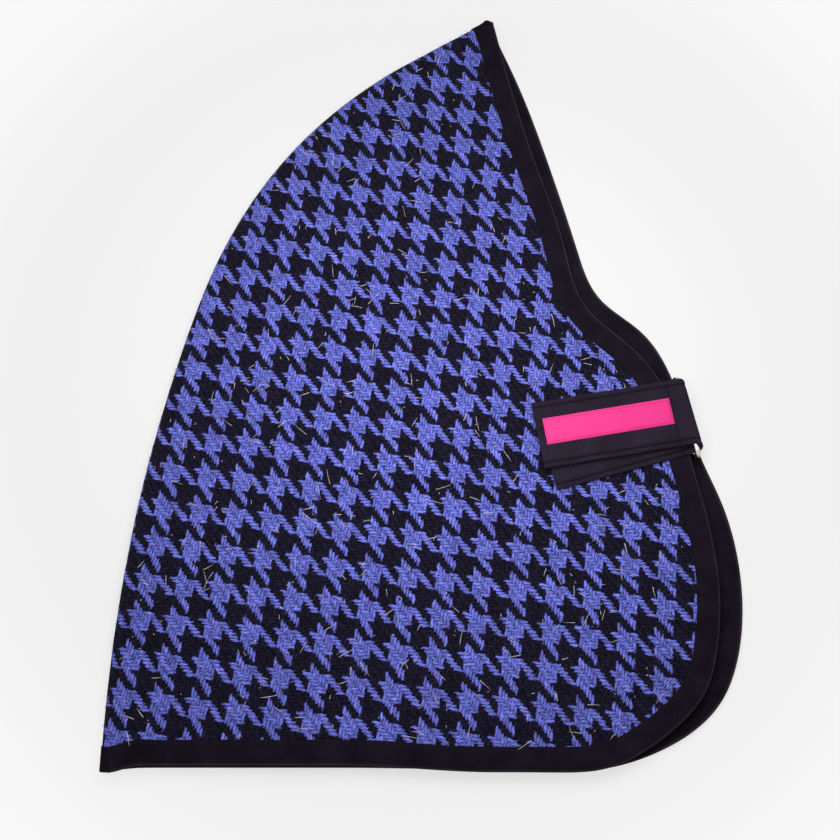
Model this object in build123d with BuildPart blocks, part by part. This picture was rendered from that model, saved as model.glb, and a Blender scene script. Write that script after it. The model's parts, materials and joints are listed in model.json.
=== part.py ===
from build123d import *
from math import radians, sqrt, tan
import os

os.makedirs("parts", exist_ok=True)

# A two-sided neck cover lying folded in half on its left side. X runs from the crest to the
# front, Y from the hem up to the poll, Z up through the two sides. All sizes in millimetres.

# ---- overall blank ----
PANEL_W = 344.0
PANEL_L = 450.0
X_LEFT = -PANEL_W / 2
Y_HEM = -PANEL_L / 2

# ---- cloth stack of one side, and the neck tunnel between the two sides ----
CLOTH_T = 1.8
LINING_T = 0.8
BIND_T = 0.5
TUNNEL_H = 4.4
SIDE_H = BIND_T + CLOTH_T + LINING_T + BIND_T
LOW_TOP = SIDE_H
HIGH_BOT = LOW_TOP + TUNNEL_H
HIGH_TOP = HIGH_BOT + SIDE_H
MID_Z = (LOW_TOP + HIGH_BOT) / 2

# radii of the layers where they turn round the crest
R_BIND = MID_Z
R_CLOTH = R_BIND - BIND_T
R_LINING = R_CLOTH - CLOTH_T
R_INSIDE = R_LINING - LINING_T
R_BORE = R_INSIDE - BIND_T

# ---- edge binding ----
BIND_W = 12.5
BIND_WALL = 0.7
BIND_NOSE_R = 1.3
CLOTH_INSET = BIND_WALL + 0.3
LINING_INSET = BIND_WALL + 1.5
CREST_WRAP_L = BIND_W
WRAP_LAP = 0.3

# ---- crest line ----
CREST_FOOT_SPARE = 2.5
BOW_RATIO = 1.29

OVERRUN = R_BIND + 2

# ---- crest seam tape ----
TAPE_W = 11.0
TAPE_T = 1.2
TAPE_HEM = 0.95
TAPE_END = 1.2

# ---- moving gaps ----
BODY_GAP = 0.4
FIT = 0.3
FOLD_INSET = 2.5

# ---- closure: webbing strap through a rectangular wire ring ----
STRAP_W = 38.0
STRAP_T = 1.6
GRIP_T = 0.7
GRIP_W = 25.0
GRIP_L = 52.0
GRIP_BACK = 10.5
LABEL_W = 15.0
LABEL_L = 72.6
LABEL_T = 0.3
LABEL_MARGIN = 4.2
LABEL_RISE = 1.4
FLAP_L = 77.8
BASE_L = 75.0
FLAP_ANGLE = 9.45
BASE_ANGLE = 15.2
TURN_ANGLE = (FLAP_ANGLE + BASE_ANGLE) / 2 - 0.9
TURN_SHIFT = 2.2
TURN_BACK = 7.5
BEND_SWEEP = 205
BEND_EASE = 0.95
RING_WIRE = 3.0
RING_IN_W = STRAP_W + 4.0
RING_SHIFT = 0.5
RING_BEND = 3.2
KEEPER_W = 24.0
KEEPER_T = 0.7
KEEPER_BACK = 22.0
KEEPER_SEWN_L = 11.5
KEEPER_LAP = 0.5
PATCH_W = 32.0
PATCH_BACK = 25.0

BASE_BOT = HIGH_TOP
BASE_TOP = BASE_BOT + STRAP_T
FLAP_BOT = BASE_TOP + GRIP_T + FIT + GRIP_T
UPPER_BAR_Z = BASE_TOP + FIT + RING_WIRE / 2
LOWER_BAR_Z = LOW_TOP + KEEPER_T + FIT + RING_WIRE / 2
TURN_R = RING_WIRE / 2 + FIT + STRAP_T / 2
KEEPER_R = RING_WIRE / 2 + FIT + KEEPER_T / 2


# Plan stations are given as shares of the blank's width and length, from the crest's foot.
def at(u, v):
    return Vector(X_LEFT + u * PANEL_W, Y_HEM + v * PANEL_L)


def left_of(direction):
    return Vector(-direction.Y, direction.X)


def across(path, share):
    # plane square to a flat path: local X to the left of travel, local Y straight up
    tangent = path % share
    return Plane(origin=path @ share, x_dir=left_of(tangent), z_dir=tangent)


# ---- the crest: the line about which the cloth turns from the top side to the under side ----
# A straight run down from the poll, two bows that lead into each other, and a short run to the hem.
def bows_meet(start, heading, end, leading, ratio):
    # where two arcs meet that run smoothly from start along heading to end along leading;
    # ratio is the second bow's reach over the first's
    span = end - start
    both = heading + leading * ratio
    square = both.dot(both) - (1 + ratio) ** 2
    linear = span.dot(both)
    reach = (linear - sqrt(linear ** 2 - square * span.dot(span))) / square
    first, second = start + heading * reach, end - leading * reach * ratio
    return first + (second - first) * (1 / (1 + ratio))


POLL = at(0.6203, 1.0) - Vector(0, R_BIND * 0.85)
HEEL = Vector(X_LEFT + R_BIND, Y_HEM)
FOOT = HEEL + Vector(0, CREST_WRAP_L + CREST_FOOT_SPARE)
with BuildLine() as crest_line:
    poll_run = Line(POLL, at(0.471, 0.920))
    joint = bows_meet(poll_run @ 1, poll_run % 1, FOOT, Vector(0, -1), BOW_RATIO)
    upper_bow = TangentArc(poll_run @ 1, joint, tangent=poll_run % 1)
    TangentArc(joint, FOOT, tangent=upper_bow % 1)
    Line(FOOT, HEEL)
crest = crest_line.wire()

# ---- the front edge: share of width, share of length, how far the under side shows past it ----
FRONT = [
    (0.6475, 0.8979, 7.0),
    (0.6919, 0.7680, 9.8),
    (0.7360, 0.6487, 9.0),
    (0.7660, 0.5674, 12.8),
    (0.8339, 0.5164, 14.5),
    (0.8815, 0.4716, 10.5),
    (0.9272, 0.3631, 8.8),
    (0.9413, 0.3133, 12.5),
    (0.9573, 0.2171, 14.8),
    (0.9434, 0.1266, 14.0),
    (0.9285, 0.0942, 12.3),
    (0.8690, 0.0450, 8.1),
    (0.7820, 0.0071, 2.0),
]
NEAR_LEAD = Vector(0.22, -0.975)
FAR_LEAD = Vector(0.42, -0.91)
HEM_TURN = at(0.6452, 0.0)


def front_edge(lead, stations):
    # starts a little above the poll, so that the crest line trims whatever follows it
    with BuildLine() as line:
        Spline(POLL - lead * OVERRUN, *stations, HEM_TURN, tangents=[lead, (-1, 0)])
    return line.edge()


near_stations = [at(u, v) for u, v, _ in FRONT]
near_front = front_edge(NEAR_LEAD, near_stations)


def shown(station, show):
    outward = left_of(near_front.tangent_at(near_front.param_at_point(station)))
    return station + outward * show


far_front = front_edge(FAR_LEAD, [shown(p, row[2]) for p, row in zip(near_stations, FRONT)])


def edge_run(front):
    # front edge, rounded corner and hem as one path that runs past the crest at both ends
    return Wire([front, Edge.make_line(HEM_TURN, HEEL - Vector(OVERRUN, 0))])


near_run = edge_run(near_front)
far_run = edge_run(far_front)

# ---- the straight fold on which the top side lifts: just inside the chord of the crest ----
chord = (HEEL - POLL).normalized()
FOLD_RIGHT = left_of(chord)
fold_still = Plane(origin=POLL + FOLD_RIGHT * FOLD_INSET, x_dir=chord, z_dir=FOLD_RIGHT)
fold_moving = fold_still.offset(BODY_GAP)


def flat_zone():
    # everything on the front side of the crest line
    tail = POLL - (crest % 0) * PANEL_L / 4
    with BuildSketch() as zone:
        with BuildLine():
            add(crest)
            Polyline(HEEL, HEEL - Vector(0, PANEL_L), Vector(PANEL_W, -PANEL_L), Vector(PANEL_W, PANEL_L),
                     tail, POLL)
        make_face()
    return zone.sketch


def blank(run):
    # the flat outline of one side, from the crest line to the front edge and hem
    with BuildSketch() as face:
        with BuildLine():
            add(run)
            Polyline(run @ 1, Vector(-PANEL_W, Y_HEM), Vector(-PANEL_W, PANEL_L), run @ 0)
        make_face()
        add(flat_zone(), mode=Mode.INTERSECT)
    return face.sketch


def quarter(path, r_out, r_in, side):
    # a quarter ring round the crest line; side +1 is the top half, -1 the under half
    with BuildSketch(across(path, 0)) as ring:
        with Locations((0, MID_Z)):
            Circle(r_out)
            Circle(r_in, mode=Mode.SUBTRACT)
        with Locations((-r_out / 2, MID_Z + side * r_out / 2)):
            Rectangle(r_out, r_out, mode=Mode.INTERSECT)
    return ring.sketch


def layer(run, side, r_out, r_in, inset):
    # one cloth layer of one side: flat blank, turned crest, edge cut back inside the binding
    low = MID_Z + r_in if side > 0 else MID_Z - r_out
    turn = crest.trim(inset / crest.length, 1 - inset / crest.length)
    with BuildPart() as cloth:
        with BuildSketch(Plane.XY.offset(low)):
            add(blank(run))
        extrude(amount=r_out - r_in)
        sweep(quarter(turn, r_out, r_in, side), path=turn)
        with BuildSketch(across(run, 0)) as waste:
            with Locations((-inset, MID_Z)):
                Rectangle(inset + OVERRUN, 2 * R_BIND + 2, align=(Align.MIN, Align.CENTER))
        sweep(waste.sketch, path=run, mode=Mode.SUBTRACT)
    return cloth.part


def edge_u(run, low):
    # U-section binding round one side's front edge and hem, trimmed at the crest line
    with BuildPart() as binding:
        with BuildSketch(across(run, 0)) as section:
            with Locations((-BIND_W, low)):
                Rectangle(BIND_W, SIDE_H, align=(Align.MIN, Align.MIN))
            fillet(section.vertices().group_by(Axis((0, 0, 0), section.workplanes[0].x_dir))[-1], BIND_NOSE_R)
            with Locations((-BIND_W, low + BIND_T)):
                Rectangle(BIND_W - BIND_WALL, SIDE_H - 2 * BIND_T, align=(Align.MIN, Align.MIN),
                          mode=Mode.SUBTRACT)
        sweep(section.sketch, path=run)
        with BuildSketch(Plane.XY.offset(low - 1)):
            add(flat_zone())
        extrude(amount=SIDE_H + 2, mode=Mode.INTERSECT)
    return binding.part.solids().sort_by(SortBy.VOLUME)[-1]


def crest_wrap(path, at_poll):
    # binding carried round the turned crest: a leaf outside, a leaf inside, closed at the end,
    # where it laps into the wall of the top side's binding
    wall_share = BIND_WALL / path.length
    wall_path = path.trim(0, wall_share) if at_poll else path.trim(1 - wall_share, 1)
    with BuildPart() as wrap:
        for r_out, r_in in ((R_BIND, R_CLOTH), (R_INSIDE, R_BORE)):
            for side in (1, -1):
                sweep(quarter(path, r_out, r_in, side), path=path)
        with BuildSketch(across(wall_path, 0)):
            with Locations((0, MID_Z)):
                Circle(R_BIND - BIND_T / 2)
                Circle(R_BORE + BIND_T / 2, mode=Mode.SUBTRACT)
            with Locations((-R_BIND / 2, MID_Z)):
                Rectangle(R_BIND, 2 * R_BIND, mode=Mode.INTERSECT)
            with Locations((0, HIGH_BOT + SIDE_H / 2)):
                Rectangle(2 * WRAP_LAP, SIDE_H - BIND_T)
        sweep(path=wall_path)
    return wrap.part


# ---- under side (the animal's left), whole; it carries the turned crest ----
with BuildPart() as outer_panel_left:
    add(layer(far_run, -1, R_CLOTH, R_LINING, CLOTH_INSET))
outer_panel_left.part.label = "outer panel, left side"
export_step(outer_panel_left.part, "parts/outer_panel_left.step")

with BuildPart() as lining_left:
    add(layer(far_run, -1, R_LINING, R_INSIDE, LINING_INSET))
lining_left.part.label = "lining, left side"
export_step(lining_left.part, "parts/lining_left.step")

with BuildPart() as edge_binding_left:
    add(edge_u(far_run, 0))
edge_binding_left.part.label = "edge binding, left side"
export_step(edge_binding_left.part, "parts/edge_binding_left.step")

# ---- top side (the animal's right), cut at the straight fold it lifts on ----
with BuildPart() as outer_panel_right:
    add(layer(near_run, 1, R_CLOTH, R_LINING, CLOTH_INSET))
    split(bisect_by=fold_moving, keep=Keep.TOP)
outer_panel_right.part.label = "outer panel, right side, lifting part"
export_step(outer_panel_right.part, "parts/outer_panel_right.step")

with BuildPart() as outer_panel_crest:
    add(layer(near_run, 1, R_CLOTH, R_LINING, CLOTH_INSET))
    split(bisect_by=fold_still, keep=Keep.BOTTOM)
outer_panel_crest.part.label = "outer panel, right side, crest part"
export_step(outer_panel_crest.part, "parts/outer_panel_crest.step")

with BuildPart() as lining_right:
    add(layer(near_run, 1, R_LINING, R_INSIDE, LINING_INSET))
    split(bisect_by=fold_moving, keep=Keep.TOP)
lining_right.part.label = "lining, right side, lifting part"
export_step(lining_right.part, "parts/lining_right.step")

with BuildPart() as lining_crest:
    add(layer(near_run, 1, R_LINING, R_INSIDE, LINING_INSET))
    split(bisect_by=fold_still, keep=Keep.BOTTOM)
lining_crest.part.label = "lining, right side, crest part"
export_step(lining_crest.part, "parts/lining_crest.step")

with BuildPart() as edge_binding_right:
    add(edge_u(near_run, HIGH_BOT))
    split(bisect_by=fold_moving, keep=Keep.TOP)
edge_binding_right.part.label = "edge binding, right side"
export_step(edge_binding_right.part, "parts/edge_binding_right.step")

# ---- the binding carried round both ends of the crest, and the tape inside the crest seam ----
still_edge = split(edge_u(near_run, HIGH_BOT), bisect_by=fold_still, keep=Keep.BOTTOM)
WRAP_SHARE = CREST_WRAP_L / crest.length

with BuildPart() as binding_poll:
    add(crest_wrap(crest.trim(0, WRAP_SHARE), at_poll=True))
    add(still_edge.solids().sort_by(Axis.Y)[-1])
binding_poll.part.label = "edge binding round the poll end of the crest"
export_step(binding_poll.part, "parts/binding_poll.step")

with BuildPart() as binding_heel:
    add(crest_wrap(crest.trim(1 - WRAP_SHARE, 1), at_poll=False))
    add(still_edge.solids().sort_by(Axis.Y)[0])
binding_heel.part.label = "edge binding round the hem end of the crest"
export_step(binding_heel.part, "parts/binding_heel.step")

with BuildPart() as crest_seam_tape:
    tape_path = crest.trim(WRAP_SHARE * TAPE_END, 1 - WRAP_SHARE * TAPE_END)
    with BuildSketch(across(tape_path, 0)):
        with Locations((-R_INSIDE * TAPE_HEM, MID_Z)):
            Rectangle(TAPE_W, TAPE_T, align=(Align.MIN, Align.CENTER))
    sweep(path=tape_path)
crest_seam_tape.part.label = "crest seam tape"
export_step(crest_seam_tape.part, "parts/crest_seam_tape.step")

# ---- closure frame: along the strap to the right, Z up, origin under the ring's bars ----
TURN_X = Vector(1, 0).rotate(Axis.Z, TURN_ANGLE)
BAR = at(0.9220, 0.4190)
turn_frame = Plane(origin=BAR, x_dir=TURN_X, z_dir=TURN_X.cross(Vector(0, 0, 1)))
strap_cut = Plane(origin=BAR - TURN_X * TURN_BACK, x_dir=(0, 0, 1), z_dir=TURN_X)
ALONG_BAR = left_of(TURN_X)


def strap_frame(angle, shift, z):
    direction = Vector(1, 0).rotate(Axis.Z, angle)
    return Plane(origin=BAR + ALONG_BAR * shift + Vector(0, 0, z), x_dir=direction, z_dir=(0, 0, 1))


base_frame = strap_frame(BASE_ANGLE, -TURN_SHIFT, BASE_BOT)
flap_frame = strap_frame(FLAP_ANGLE, TURN_SHIFT, FLAP_BOT)


def strip(frame, reach, width, start, thickness, centre=0.0):
    # a flat strip lying back from the ring, its near end square to the strap
    with BuildPart() as piece:
        with BuildSketch(frame):
            with Locations((-reach, centre)):
                Rectangle(reach - start, width, align=(Align.MIN, Align.CENTER))
        extrude(amount=thickness)
    return piece.part


with BuildPart() as strap_base:
    add(strip(base_frame, TURN_BACK + BASE_L, STRAP_W, 0, STRAP_T))
    split(bisect_by=strap_cut, keep=Keep.BOTTOM)
strap_base.part.label = "strap, sewn end"
export_step(strap_base.part, "parts/strap_base.step")

with BuildPart() as strap_flap:
    add(strip(flap_frame, TURN_BACK + FLAP_L, STRAP_W, 0, STRAP_T))
    split(bisect_by=strap_cut, keep=Keep.BOTTOM)
strap_flap.part.label = "strap, folded-back flap"
export_step(strap_flap.part, "parts/strap_flap.step")

GRIP_START = TURN_BACK + GRIP_BACK
with BuildPart() as loop_tape:
    add(strip(base_frame.offset(STRAP_T), GRIP_START + GRIP_L, GRIP_W, GRIP_START, GRIP_T))
loop_tape.part.label = "loop tape"
export_step(loop_tape.part, "parts/loop_tape.step")

with BuildPart() as hook_tape:
    add(strip(flap_frame.offset(-GRIP_T), GRIP_START + GRIP_L, GRIP_W, GRIP_START, GRIP_T))
hook_tape.part.label = "hook tape"
export_step(hook_tape.part, "parts/hook_tape.step")

LABEL_START = TURN_BACK + FLAP_L - LABEL_L - LABEL_MARGIN
with BuildPart() as ribbon_label:
    add(strip(flap_frame.offset(STRAP_T), LABEL_START + LABEL_L, LABEL_W, LABEL_START, LABEL_T,
              LABEL_RISE))
ribbon_label.part.label = "ribbon label, bare"
export_step(ribbon_label.part, "parts/ribbon_label.step")

def fold_back(bend, back, level):
    # on from a bend's end: straight down to the level, an easy corner, and back along the level
    start, heading = bend @ 1, bend % 1
    corner = start + heading * ((level - start.Y) / heading.Y)
    room = min((corner - start).length, back + corner.X)
    half_turn = radians((BEND_SWEEP - 180) / 2)
    FilletPolyline(start, corner, (-back, level), radius=BEND_EASE * room / tan(half_turn))


# ---- the turn of the strap round the ring's upper bar ----
with BuildPart() as strap_turn:
    with BuildSketch(turn_frame):
        with BuildLine():
            Line((-TURN_BACK, BASE_BOT + STRAP_T / 2), (0, BASE_BOT + STRAP_T / 2))
            bend = CenterArc((0, UPPER_BAR_Z), TURN_R, -90, BEND_SWEEP)
            fold_back(bend, TURN_BACK, FLAP_BOT + STRAP_T / 2)
        trace(line_width=STRAP_T)
    extrude(amount=STRAP_W / 2, both=True)
strap_turn.part.label = "strap, turn round the ring"
export_step(strap_turn.part, "parts/strap_turn.step")

# ---- the ring, standing on edge, and the keeper that ties it to the under side ----
RING_SPAN = RING_IN_W + RING_WIRE
ring_plane = Plane(origin=BAR - ALONG_BAR * RING_SHIFT, x_dir=ALONG_BAR, z_dir=TURN_X)
with BuildSketch(ring_plane) as ring_outline:
    with Locations((0, (LOWER_BAR_Z + UPPER_BAR_Z) / 2)):
        RectangleRounded(RING_SPAN, UPPER_BAR_Z - LOWER_BAR_Z, RING_BEND)
ring_path = ring_outline.sketch.face().outer_wire()
with BuildPart() as closure_ring:
    with BuildSketch(Plane(origin=ring_path @ 0, z_dir=ring_path % 0)):
        Circle(RING_WIRE / 2)
    sweep(path=ring_path)
closure_ring.part.label = "closure ring"
export_step(closure_ring.part, "parts/closure_ring.step")

sewn_end = KEEPER_BACK - KEEPER_SEWN_L
with BuildPart() as ring_keeper:
    with BuildSketch(turn_frame):
        with BuildLine():
            Line((-sewn_end - KEEPER_LAP, LOW_TOP + KEEPER_T / 2), (0, LOW_TOP + KEEPER_T / 2))
            eye = CenterArc((0, LOWER_BAR_Z), KEEPER_R, -90, BEND_SWEEP)
            fold_back(eye, sewn_end + KEEPER_LAP, LOW_TOP + KEEPER_T * 1.5)
        trace(line_width=KEEPER_T)
        with Locations((-KEEPER_BACK, LOW_TOP)):
            Rectangle(KEEPER_SEWN_L, 2 * KEEPER_T, align=(Align.MIN, Align.MIN))
    extrude(amount=KEEPER_W / 2, both=True)
ring_keeper.part.label = "ring keeper"
export_step(ring_keeper.part, "parts/ring_keeper.step")

with BuildPart() as keeper_patch:
    with BuildSketch(Plane(origin=BAR + Vector(0, 0, LOW_TOP - BIND_T), x_dir=TURN_X, z_dir=(0, 0, 1))):
        with Locations((-PATCH_BACK, 0)):
            Rectangle(PATCH_BACK - BIND_W, PATCH_W, align=(Align.MIN, Align.CENTER))
    extrude(amount=BIND_T)
keeper_patch.part.label = "keeper patch"
export_step(keeper_patch.part, "parts/keeper_patch.step")
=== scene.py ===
import json
import math

import bmesh
import bpy
import numpy as np
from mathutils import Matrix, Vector, noise


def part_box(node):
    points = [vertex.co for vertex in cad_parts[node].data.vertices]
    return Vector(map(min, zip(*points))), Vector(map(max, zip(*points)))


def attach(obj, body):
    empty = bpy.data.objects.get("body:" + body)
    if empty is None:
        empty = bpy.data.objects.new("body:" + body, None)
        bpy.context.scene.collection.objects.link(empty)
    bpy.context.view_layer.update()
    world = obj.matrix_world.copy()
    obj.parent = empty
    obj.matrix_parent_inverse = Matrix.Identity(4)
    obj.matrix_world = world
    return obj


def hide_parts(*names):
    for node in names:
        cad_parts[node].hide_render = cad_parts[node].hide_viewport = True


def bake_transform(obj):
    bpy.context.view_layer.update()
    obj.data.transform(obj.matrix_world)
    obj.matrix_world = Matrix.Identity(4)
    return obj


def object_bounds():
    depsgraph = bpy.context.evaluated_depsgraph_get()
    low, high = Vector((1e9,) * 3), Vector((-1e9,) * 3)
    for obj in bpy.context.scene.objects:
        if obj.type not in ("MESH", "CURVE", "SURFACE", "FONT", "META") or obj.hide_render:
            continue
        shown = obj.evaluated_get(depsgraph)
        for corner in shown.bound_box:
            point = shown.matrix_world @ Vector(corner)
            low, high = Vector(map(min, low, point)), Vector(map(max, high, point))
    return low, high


# A two-sided neck cover that lies folded in half on a pale floor, with its strap closed round a
# ring. Everything is in metres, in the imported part's own frame: X from the crest to the front
# edge, Y from the hem up to the poll, Z up through the two sides.
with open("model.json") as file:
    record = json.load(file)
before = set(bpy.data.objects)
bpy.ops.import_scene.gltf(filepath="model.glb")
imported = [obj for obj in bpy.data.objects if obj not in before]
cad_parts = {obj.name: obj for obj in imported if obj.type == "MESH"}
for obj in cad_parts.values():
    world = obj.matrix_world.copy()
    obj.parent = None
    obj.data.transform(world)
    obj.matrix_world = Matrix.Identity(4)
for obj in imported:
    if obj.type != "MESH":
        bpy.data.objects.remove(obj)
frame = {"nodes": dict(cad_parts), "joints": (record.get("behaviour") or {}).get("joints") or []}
cad_low, cad_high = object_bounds()
nodes = frame["nodes"]
joints = {joint["name"]: joint for joint in frame["joints"]}
MM = 0.001
UP = np.array([0.0, 0.0, 1.0])


# ---- lines in plan, read from the frame ----
LINE_STEP = 1.5 * MM
LINE_SMOOTHING = 8
CLOTH_INSET = 1.0 * MM
LINING_INSET = 2.2 * MM
NOSE_FLAT = 0.52 * MM


def right_of(heading):
    return np.stack([heading[..., 1], -heading[..., 0]], -1)


def unit(vectors):
    return vectors / np.linalg.norm(vectors, axis=-1, keepdims=True)


def distances(points):
    """How far along a line of points each of them lies."""
    return np.concatenate([[0], np.cumsum(np.linalg.norm(np.diff(points, axis=0), axis=1))])


def paired(first, second):
    return np.stack(np.broadcast_arrays(first, second), -1)


def raised(plan, height):
    """Places in space over places in plan."""
    return np.concatenate([plan, np.broadcast_to(height, plan.shape[:-1])[..., None]], -1)


class Line:
    """A smooth line of evenly spaced points, read by the distance along it."""

    def __init__(self, points):
        found = distances(points)
        steps = np.linspace(0, found[-1], round(found[-1] / LINE_STEP) + 1)
        even = np.stack([np.interp(steps, found, column) for column in points.T], 1)
        for _ in range(LINE_SMOOTHING):
            even[1:-1] = (even[:-2] + 2 * even[1:-1] + even[2:]) / 4
        self.points = even
        self.at = distances(even)
        self.length = self.at[-1]
        self.along = unit(np.gradient(even, axis=0))

    def point(self, distance):
        return np.stack([np.interp(distance, self.at, column) for column in self.points.T], -1)

    def heading(self, distance):
        return unit(np.stack([np.interp(distance, self.at, column) for column in self.along.T], -1))

    def right(self, distance):
        return right_of(self.heading(distance))


def node_points(node):
    return np.array([v.co for v in nodes[node].data.vertices], float)


def in_order(points, order):
    points = points[np.argsort(order)]
    fresh = np.linalg.norm(np.diff(points, axis=0), axis=1) > 0.05 * MM
    return points[np.concatenate([[True], fresh])]


fold_at = np.array(joints["side_lift"]["pos_m"])
fold_way = np.array(joints["side_lift"]["axis"])[:2]
fold_right = -right_of(fold_way)


def nose_line(node):
    """The outermost line of a U-shaped binding, from the poll round to the hem's far end."""
    low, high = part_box(node)
    found = node_points(node)
    found = found[abs(found[:, 2] - (low.z + high.z) / 2) < NOSE_FLAT, :2]
    spoke = found - fold_at[:2]
    return in_order(found, -np.arctan2(spoke[:, 1], spoke[:, 0]))


def crest_line():
    """The line about which the cloth turns under, from the poll to the hem."""
    found = node_points("outer_panel_crest")
    top = found[:, 2].max()
    found = found[found[:, 2] > top - 0.01 * MM, :2]
    found = found[(found - fold_at[:2]) @ fold_right < -MM]
    line = in_order(found, found @ fold_way)
    lead, tail = unit(line[0] - line[1]), unit(line[-1] - line[-2])
    return np.vstack([line[0] + lead * CLOTH_INSET, line, line[-1] + tail * CLOTH_INSET])


def ramp(value, low, high):
    share = np.clip((value - low) / (high - low), 0, 1)
    return share * share * (3 - 2 * share)


HEM_RISE_NEAR, HEM_RISE_FAR = 3.4 * MM, 0.9 * MM
RISE_STARTS, RISE_ENDS = (2 * MM, 14 * MM), (120 * MM, 200 * MM)
HEM_REACH = 25 * MM


def drawn_up(points, rise):
    """An edge as it lies: the hem is drawn up a little from the crest to its middle."""
    in_from_crest, above_hem = points[:, 0] - points[-1, 0], points[:, 1] - points[:, 1].min()
    share = ramp(in_from_crest, *RISE_STARTS) * (1 - ramp(in_from_crest, *RISE_ENDS))
    share = share * (1 - ramp(above_hem, 0, HEM_REACH)) * rise
    return points + np.stack([0 * share, share], 1)


crest = Line(crest_line())
near_edge = np.vstack([crest.points[0], nose_line("edge_binding_right"), crest.points[-1]])
near_run = Line(drawn_up(Line(near_edge).points, HEM_RISE_NEAR))
far_run = Line(drawn_up(Line(nose_line("edge_binding_left")).points, HEM_RISE_FAR))

# ---- heights of the layers, measured from the level at which the two sides meet ----
MID_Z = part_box("outer_panel_crest")[0].z
R_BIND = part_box("edge_binding_right")[1].z - MID_Z
R_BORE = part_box("edge_binding_right")[0].z - MID_Z
R_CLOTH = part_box("outer_panel_crest")[1].z - MID_Z
R_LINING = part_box("lining_crest")[1].z - MID_Z
R_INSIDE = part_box("lining_right")[0].z - MID_Z
R_EDGE = (R_BIND + R_BORE) / 2
SEAM_OUT = R_CLOTH * math.pi / 2
SKIN = 0.04 * MM


def beside_crest(plan):
    """How far along the crest each plan point lies, and how far outside it."""
    flat = plan.reshape(-1, 2)
    nearest = np.concatenate([
        np.linalg.norm(block[:, None] - crest.points[None], axis=2).argmin(1)
        for block in np.array_split(flat, max(1, len(flat) // 2000))
    ])
    offset = flat - crest.points[nearest]
    along = crest.at[nearest] + (offset * crest.along[nearest]).sum(-1)
    out = (offset * right_of(crest.along[nearest])).sum(-1)
    return along.reshape(plan.shape[:-1]), out.reshape(plan.shape[:-1])


def turned(along, out, radius, side):
    """A place on the roll round the crest. side is 1 on the top side and -1 on the under side."""
    angle = out / R_CLOTH
    plan = crest.point(along) + crest.right(along) * (radius * np.sin(angle))[..., None]
    return raised(plan, MID_Z + side * radius * np.cos(angle))


def laid(plan, radius, side):
    """Flat cloth laid over the folded form: what lies past the crest line turns round it."""
    radius = np.broadcast_to(radius, plan.shape[:-1])
    along, out = beside_crest(plan)
    flat = raised(plan, MID_Z + side * radius)
    return np.where((out > 0)[..., None], turned(along, out, radius, side), flat)


def soft(points, size, seed=0.0):
    """Smooth noise from about -1 to 1 at plan or space points, with bumps about size across."""
    flat = points.reshape(-1, points.shape[-1]) / size
    values = [noise.noise(Vector((*p[:2], seed + (p[2] if len(p) > 2 else 0)))) for p in flat]
    return np.array(values).reshape(points.shape[:-1])


# ---- meshes ----
def mesh_piece(name, vertices, faces, material, uv=None):
    mesh = bpy.data.meshes.new(name)
    mesh.from_pydata(np.asarray(vertices).reshape(-1, 3).tolist(), [], faces)
    if uv is not None:
        layer = mesh.uv_layers.new(name="cut")
        corners = np.zeros(len(mesh.loops), np.int32)
        mesh.loops.foreach_get("vertex_index", corners)
        layer.data.foreach_set("uv", np.asarray(uv).reshape(-1, 2)[corners].astype(np.float32).ravel())
    work = bmesh.new()
    work.from_mesh(mesh)
    bmesh.ops.recalc_face_normals(work, faces=work.faces)
    work.to_mesh(mesh)
    work.free()
    mesh.polygons.foreach_set("use_smooth", np.ones(len(mesh.polygons), bool))
    mesh.materials.append(material)
    piece = bpy.data.objects.new(name, mesh)
    bpy.context.scene.collection.objects.link(piece)
    return piece


def grid_faces(rows, columns, start=0, around=False):
    """Quads between rows of points; around joins each row's last point to its first."""
    i = np.arange(rows - 1)[:, None]
    j = np.arange(columns if around else columns - 1)[None]
    k = (j + 1) % columns
    corners = [i * columns + j, (i + 1) * columns + j, (i + 1) * columns + k, i * columns + k]
    return (np.stack(np.broadcast_arrays(*corners), -1).reshape(-1, 4) + start).tolist()


def tube_faces(rows, columns, before):
    """The faces of a capped tube that follows so many others of its size in one mesh."""
    start = rows * columns * before
    caps = [[start + row * columns + k for k in range(columns)] for row in (0, rows - 1)]
    return grid_faces(rows, columns, start, around=True) + caps


def shell(name, outer, inner, uv, material):
    """A sheet with two faces, closed along its rim."""
    rows, columns = outer.shape[:2]
    count = rows * columns
    faces = grid_faces(rows, columns) + grid_faces(rows, columns, count)
    index = np.arange(count).reshape(rows, columns)
    rim = np.concatenate([index[0], index[1:, -1], index[-1, -2::-1], index[-2:0:-1, 0]])
    following = np.roll(rim, -1)
    faces += np.stack([rim, following, following + count, rim + count], 1).tolist()
    return mesh_piece(name, np.concatenate([outer, inner]), faces, material, np.concatenate([uv, uv]))


def loft(name, rings, material, uv):
    """A solid through rings of points, capped at both ends."""
    rows, columns = rings.shape[:2]
    return mesh_piece(name, rings, tube_faces(rows, columns, 0), material, uv)


def joined(name, parts):
    """Several new pieces made into one mesh, which keeps the first one's material."""
    work = bmesh.new()
    material = parts[0].data.materials[0]
    for part in parts:
        work.from_mesh(part.data)
        bpy.data.meshes.remove(part.data)
    mesh = bpy.data.meshes.new(name)
    work.to_mesh(mesh)
    work.free()
    mesh.materials.append(material)
    piece = bpy.data.objects.new(name, mesh)
    bpy.context.scene.collection.objects.link(piece)
    return piece


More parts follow.
